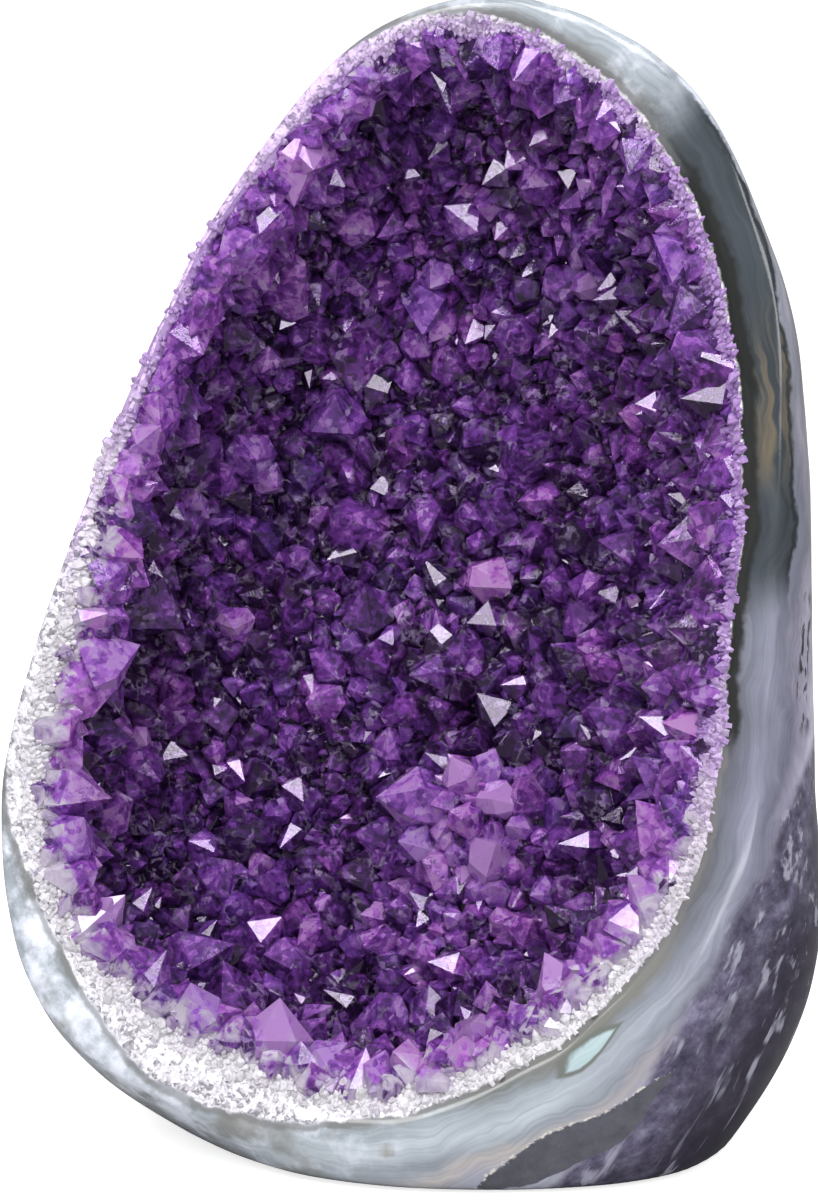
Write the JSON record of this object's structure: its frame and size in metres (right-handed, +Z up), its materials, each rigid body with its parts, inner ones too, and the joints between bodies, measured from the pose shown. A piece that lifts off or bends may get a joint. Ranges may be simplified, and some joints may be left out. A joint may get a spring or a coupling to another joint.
{
  "type": "amethyst geode",
  "caption": "Upright geode on a flat cut base: a smooth banded stone boulder sawn open to show a deep hollow lined with purple quartz crystals.",
  "frame": {"origin": "on the table under the middle of the whole geode's box", "axes": "+Z up from the cut base; the open face with the crystals looks along -Y and leans back"},
  "size_m": [0.1154, 0.0778, 0.1622],
  "materials": {
    "banded_stone": "ground and polished, pale blue-grey agate bands over dark slate basalt",
    "milky_quartz": "sugary white and lavender quartz, sparkling",
    "amethyst_crystal": "clear purple quartz with sharp bright facets"
  },
  "bodies": {
    "root": {"stone_shell": "banded_stone", "crystal_lining": "amethyst_crystal"}
  },
  "joints": []
}
